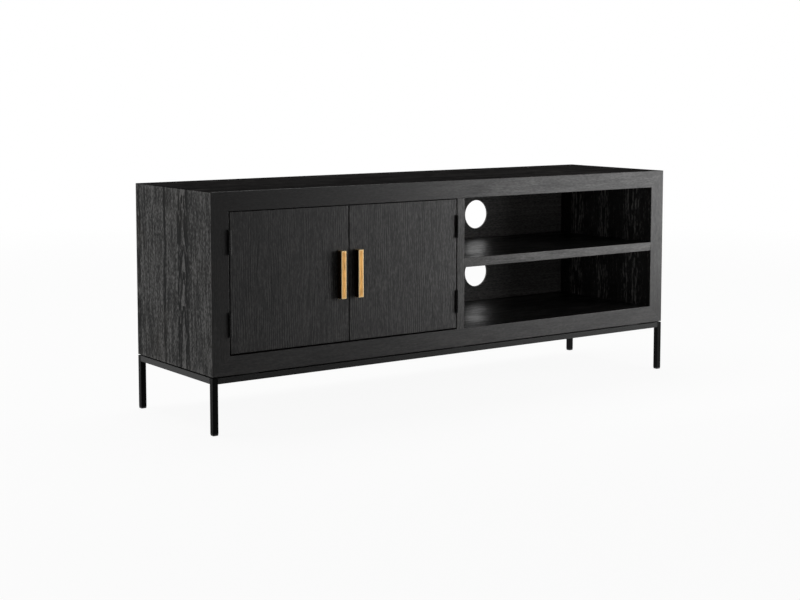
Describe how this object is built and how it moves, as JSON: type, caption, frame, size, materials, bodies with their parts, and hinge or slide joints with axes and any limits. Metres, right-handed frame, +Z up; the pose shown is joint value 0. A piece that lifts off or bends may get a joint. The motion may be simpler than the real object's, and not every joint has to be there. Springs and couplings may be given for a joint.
{
  "type": "media cabinet",
  "caption": "Low black oak media cabinet with hinged doors on the left, open bays with cable holes on the right, brass bar handles and a slim square-tube steel base.",
  "frame": {"origin": "on the floor under the middle of the overall box, handles included", "axes": "+X to the right of someone facing the doors, +Y from the front to the back, +Z up"},
  "size_m": [1.5, 0.417, 0.5875],
  "materials": {
    "black_oak_veneer": "black-stained, wire-brushed, matt lacquer",
    "black_powder_coat": "matt black powder coat on steel tube",
    "brushed_brass": "brushed lengthwise, satin",
    "black_hinge_steel": "black-coated steel",
    "zinc_steel": "bright zinc plate",
    "beech": "raw turned beech",
    "black_plastic": "fine moulded texture",
    "ferrite": "ground ceramic magnet"
  },
  "bodies": {
    "carcass": {"back_left_leg": "black_powder_coat", "back_panel": "black_oak_veneer", "back_panel_screws": "zinc_steel", "back_rail": "black_powder_coat", "back_right_leg": "black_powder_coat", "base_screws": "zinc_steel", "bottom_panel": "black_oak_veneer", "catch_screws": "zinc_steel", "centre_divider": "black_oak_veneer", "divider_dowels": "beech", "door_bay_shelf": "black_oak_veneer", "front_left_leg": "black_powder_coat", "front_rail": "black_powder_coat", "front_right_leg": "black_powder_coat", "left_catch_housing": "black_plastic", "left_catch_magnet": "ferrite", "left_catch_pole_plates": "zinc_steel", "left_hinge_frame_screws": "black_hinge_steel", "left_lower_hinge_frame_leaf": "black_hinge_steel", "left_lower_hinge_pin": "black_hinge_steel", "left_rail": "black_powder_coat", "left_side_panel": "black_oak_veneer", "left_upper_hinge_frame_leaf": "black_hinge_steel", "left_upper_hinge_pin": "black_hinge_steel", "leg_glides": "black_plastic", "media_shelf": "black_oak_veneer", "media_shelf_dowels": "beech", "mitre_splines": "beech", "right_catch_housing": "black_plastic", "right_catch_magnet": "ferrite", "right_catch_pole_plates": "zinc_steel", "right_hinge_frame_screws": "black_hinge_steel", "right_lower_hinge_frame_leaf": "black_hinge_steel", "right_lower_hinge_pin": "black_hinge_steel", "right_rail": "black_powder_coat", "right_side_panel": "black_oak_veneer", "right_upper_hinge_frame_leaf": "black_hinge_steel", "right_upper_hinge_pin": "black_hinge_steel", "seat_plates": "black_powder_coat", "shelf_pegs": "zinc_steel", "top_panel": "black_oak_veneer"},
    "left_door": {"left_door": "black_oak_veneer", "left_handle_bar": "brushed_brass", "left_handle_screws": "zinc_steel", "left_hinge_door_screws": "black_hinge_steel", "left_lower_hinge_door_leaf": "black_hinge_steel", "left_strike_plate": "zinc_steel", "left_strike_screws": "zinc_steel", "left_upper_hinge_door_leaf": "black_hinge_steel"},
    "right_door": {"right_door": "black_oak_veneer", "right_handle_bar": "brushed_brass", "right_handle_screws": "zinc_steel", "right_hinge_door_screws": "black_hinge_steel", "right_lower_hinge_door_leaf": "black_hinge_steel", "right_strike_plate": "zinc_steel", "right_strike_screws": "zinc_steel", "right_upper_hinge_door_leaf": "black_hinge_steel"}
  },
  "joints": [
    {"name": "left_door_hinge", "type": "hinge", "parent": "carcass", "child": "left_door", "pos_m": [-0.70075, -0.1955, 0.365], "axis": [0, 0, -1], "range_deg": [0, 170]},
    {"name": "right_door_hinge", "type": "hinge", "parent": "carcass", "child": "right_door", "pos_m": [-0.01375, -0.1955, 0.365], "axis": [0, 0, 1], "range_deg": [0, 170]}
  ]
}
